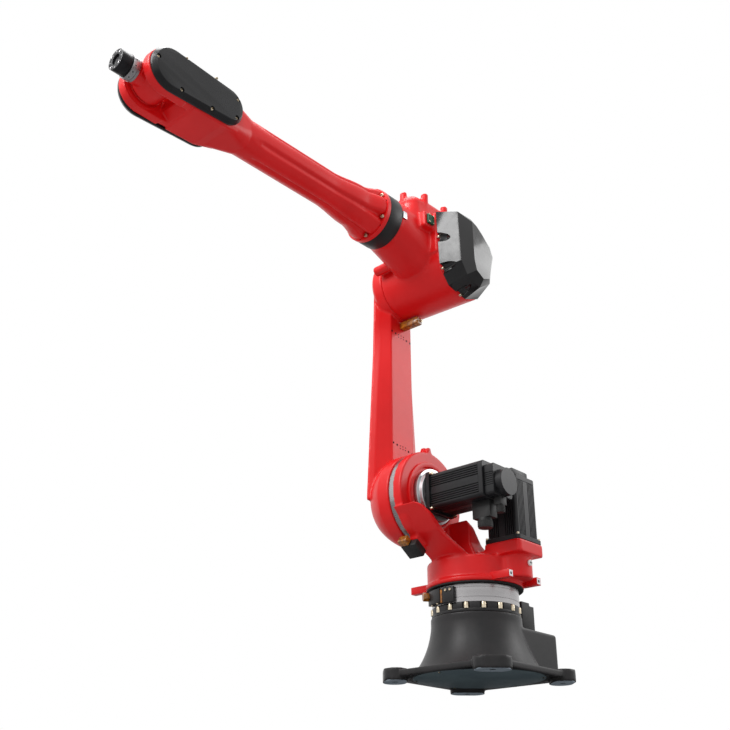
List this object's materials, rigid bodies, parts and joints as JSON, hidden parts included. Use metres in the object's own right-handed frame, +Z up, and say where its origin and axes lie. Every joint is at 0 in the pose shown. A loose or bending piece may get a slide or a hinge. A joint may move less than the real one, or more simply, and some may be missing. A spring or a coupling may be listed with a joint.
{
  "type": "industrial robot arm",
  "caption": "Floor-mounted articulated robot arm with a long reach: turret, upper arm, elbow, turning forearm and forked wrist.",
  "frame": {"origin": "on axis 1, level with the undersides of the four feet", "axes": "+Z up along axis 1, +X forward along the forearm at rest, +Y towards the side that carries the shoulder motor"},
  "size_m": [1.687, 0.4819, 1.54],
  "materials": {
    "red_paint": "semi-gloss red paint on cast metal",
    "black_paint": "satin black paint on cast metal",
    "black_sheet": "black painted sheet",
    "black_plastic": "matt black moulding",
    "motor_black": "satin black motor paint",
    "cover_black": "smooth black cover",
    "machined_steel": "turned and ground steel",
    "bare_aluminium": "machined, unpainted",
    "seal_rubber": "matt black rubber",
    "brass_bumper": "yellow-passivated metal bumper",
    "white_plug": "white plastic plug",
    "green_plastic": "dark green moulding"
  },
  "bodies": {
    "base": {"base_casting": "black_paint", "base_bottom_cover": "black_sheet", "connector_block": "black_plastic", "reducer_bolt_ring": "black_paint", "axis_1_reducer": "machined_steel", "axis_1_stop_bracket": "black_paint", "axis_1_stop_block": "black_paint", "axis_1_stop_bumper": "brass_bumper"},
    "turret": {"turret_seal": "seal_rubber", "turret_casting": "red_paint", "axis_1_motor": "motor_black", "axis_1_motor_cap": "motor_black", "axis_2_motor_adapter": "bare_aluminium", "axis_2_motor": "motor_black", "axis_2_motor_cap": "motor_black", "axis_2_reducer": "red_paint", "turret_lugs": "red_paint", "gear_case_plug": "white_plug", "axis_2_power_connector": "black_plastic", "axis_2_signal_connector": "black_plastic", "axis_2_stop_block": "black_plastic", "axis_2_stop_bumper": "brass_bumper"},
    "upper_arm": {"upper_arm_casting": "red_paint", "axis_3_stop_bumper": "brass_bumper"},
    "elbow": {"elbow_housing": "red_paint", "elbow_cover": "cover_black", "axis_4_ring": "black_paint", "elbow_connector": "green_plastic"},
    "forearm": {"forearm_casting": "red_paint", "wrist_cover_left": "cover_black", "wrist_cover_right": "cover_black"},
    "wrist": {"wrist_hub": "red_paint", "wrist_flange_ring": "machined_steel"},
    "tool": {"tool_hub": "black_paint"}
  },
  "joints": [
    {"name": "axis_1", "type": "hinge", "parent": "base", "child": "turret", "pos_m": [0, 0, 0.27], "axis": [0, 0, 1], "range_deg": [-155, 155]},
    {"name": "axis_2", "type": "hinge", "parent": "turret", "child": "upper_arm", "pos_m": [0.16, 0, 0.535], "axis": [0, -1, 0], "range_deg": [-90, 65]},
    {"name": "axis_3", "type": "hinge", "parent": "upper_arm", "child": "elbow", "pos_m": [0.16, 0, 1.303], "axis": [0, 1, 0], "range_deg": [-110, 70]},
    {"name": "axis_4", "type": "hinge", "parent": "elbow", "child": "forearm", "pos_m": [0.45, 0, 1.396], "axis": [1, 0, 0], "range_deg": [-180, 180]},
    {"name": "axis_5", "type": "hinge", "parent": "forearm", "child": "wrist", "pos_m": [1.332, 0, 1.396], "axis": [0, 1, 0], "range_deg": [-115, 115]},
    {"name": "axis_6", "type": "hinge", "parent": "wrist", "child": "tool", "pos_m": [1.43, 0, 1.396], "axis": [1, 0, 0], "range_deg": [-360, 360]}
  ]
}
